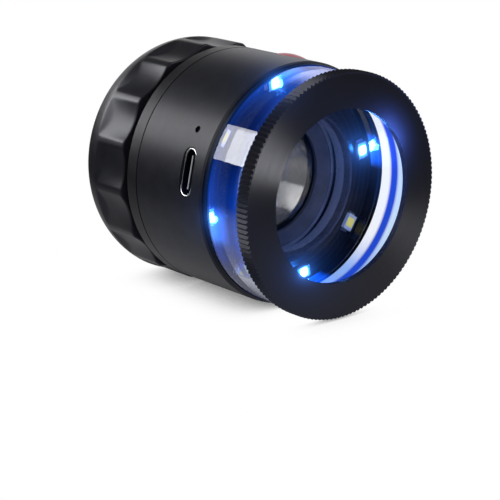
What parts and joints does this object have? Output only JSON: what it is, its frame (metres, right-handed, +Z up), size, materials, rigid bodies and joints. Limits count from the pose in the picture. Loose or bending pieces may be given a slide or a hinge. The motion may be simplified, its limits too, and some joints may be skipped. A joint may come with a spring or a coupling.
{
  "type": "jewellers loupe",
  "caption": "Short round black focusing loupe with a fluted focus grip, a lit clear window, a charging socket, a red power button and a knurled base ring with an open mouth.",
  "frame": {"origin": "middle of the object's box in X and Y, on the table that it lies on", "axes": "+Y along the optical axis from the base ring to the eye, +Z up, the base ring's face towards -Y"},
  "size_m": [0.047, 0.0494, 0.047],
  "materials": {
    "anodised_black": "fine satin black anodising",
    "brushed_collar": "fine turned black anodising",
    "ring_black": "satin black anodising",
    "inner_black": "matte black moulding",
    "tube_black": "matte black anodising",
    "clear_acrylic": "polished clear acrylic",
    "board_mask": "black solder mask",
    "led_case": "white light case",
    "phosphor": "yellow phosphor resin",
    "blue_emitter": "clear resin over a lit blue chip",
    "socket_steel": "plated sheet steel",
    "socket_plastic": "black moulding",
    "contact_gold": "gold plating",
    "smoked_pipe": "smoked light pipe",
    "red_plastic": "satin red moulding",
    "plunger_plastic": "white moulding",
    "cell_foil": "laminated foil pouch",
    "lead_wire": "insulated wire",
    "seal_rubber": "greased rubber",
    "optical_glass": "polished coated glass"
  },
  "bodies": {
    "barrel": {"barrel_shell": "anodised_black", "rear_collar": "brushed_collar", "inner_sleeve": "inner_black", "window_bezel": "inner_black", "light_window": "clear_acrylic", "circuit_board": "board_mask", "white_led_cases": "led_case", "white_led_phosphors": "phosphor", "blue_led_cases": "led_case", "blue_led_emitters": "blue_emitter", "usb_shell": "socket_steel", "usb_insert": "socket_plastic", "usb_contacts": "contact_gold", "status_led": "led_case", "status_light_pipe": "smoked_pipe", "switch_case": "socket_plastic", "battery_cell": "cell_foil", "battery_leads": "lead_wire", "control_chips": "socket_plastic", "chip_resistors": "socket_plastic"},
    "base_ring": {"base_ring": "ring_black"},
    "button": {"power_button": "red_plastic", "switch_plunger": "plunger_plastic"},
    "focus_seal": {"focus_o_ring": "seal_rubber"},
    "eyepiece": {"focus_grip": "anodised_black", "lens_tube": "tube_black", "lens_retainer": "tube_black", "objective_crown": "optical_glass", "objective_flint": "optical_glass", "lens_spacer": "tube_black", "eye_lens": "optical_glass", "eye_ring": "tube_black"}
  },
  "joints": [
    {"name": "base_ring_removal", "type": "slide", "parent": "barrel", "child": "base_ring", "axis": [0, -1, 0], "range_m": [0, 0.012]},
    {"name": "power_button_press", "type": "slide", "parent": "barrel", "child": "button", "axis": [-0.309, 0, -0.9511], "range_m": [0, 0.0005], "stiffness_N_per_m": 1200, "springref_m": -0.0005},
    {"name": "focus_travel", "type": "slide", "parent": "barrel", "child": "focus_seal", "axis": [0, 1, 0], "range_m": [-0.0012, 0.0024]},
    {"name": "focus_turn", "type": "hinge", "parent": "focus_seal", "child": "eyepiece", "pos_m": [0, 0, 0.02346], "axis": [0, 1, 0], "range_deg": [-144, 288]}
  ],
  "couplings": [
    {"joint": "focus_travel", "follows": "focus_turn", "m_per_rad": 0.00047746}
  ]
}
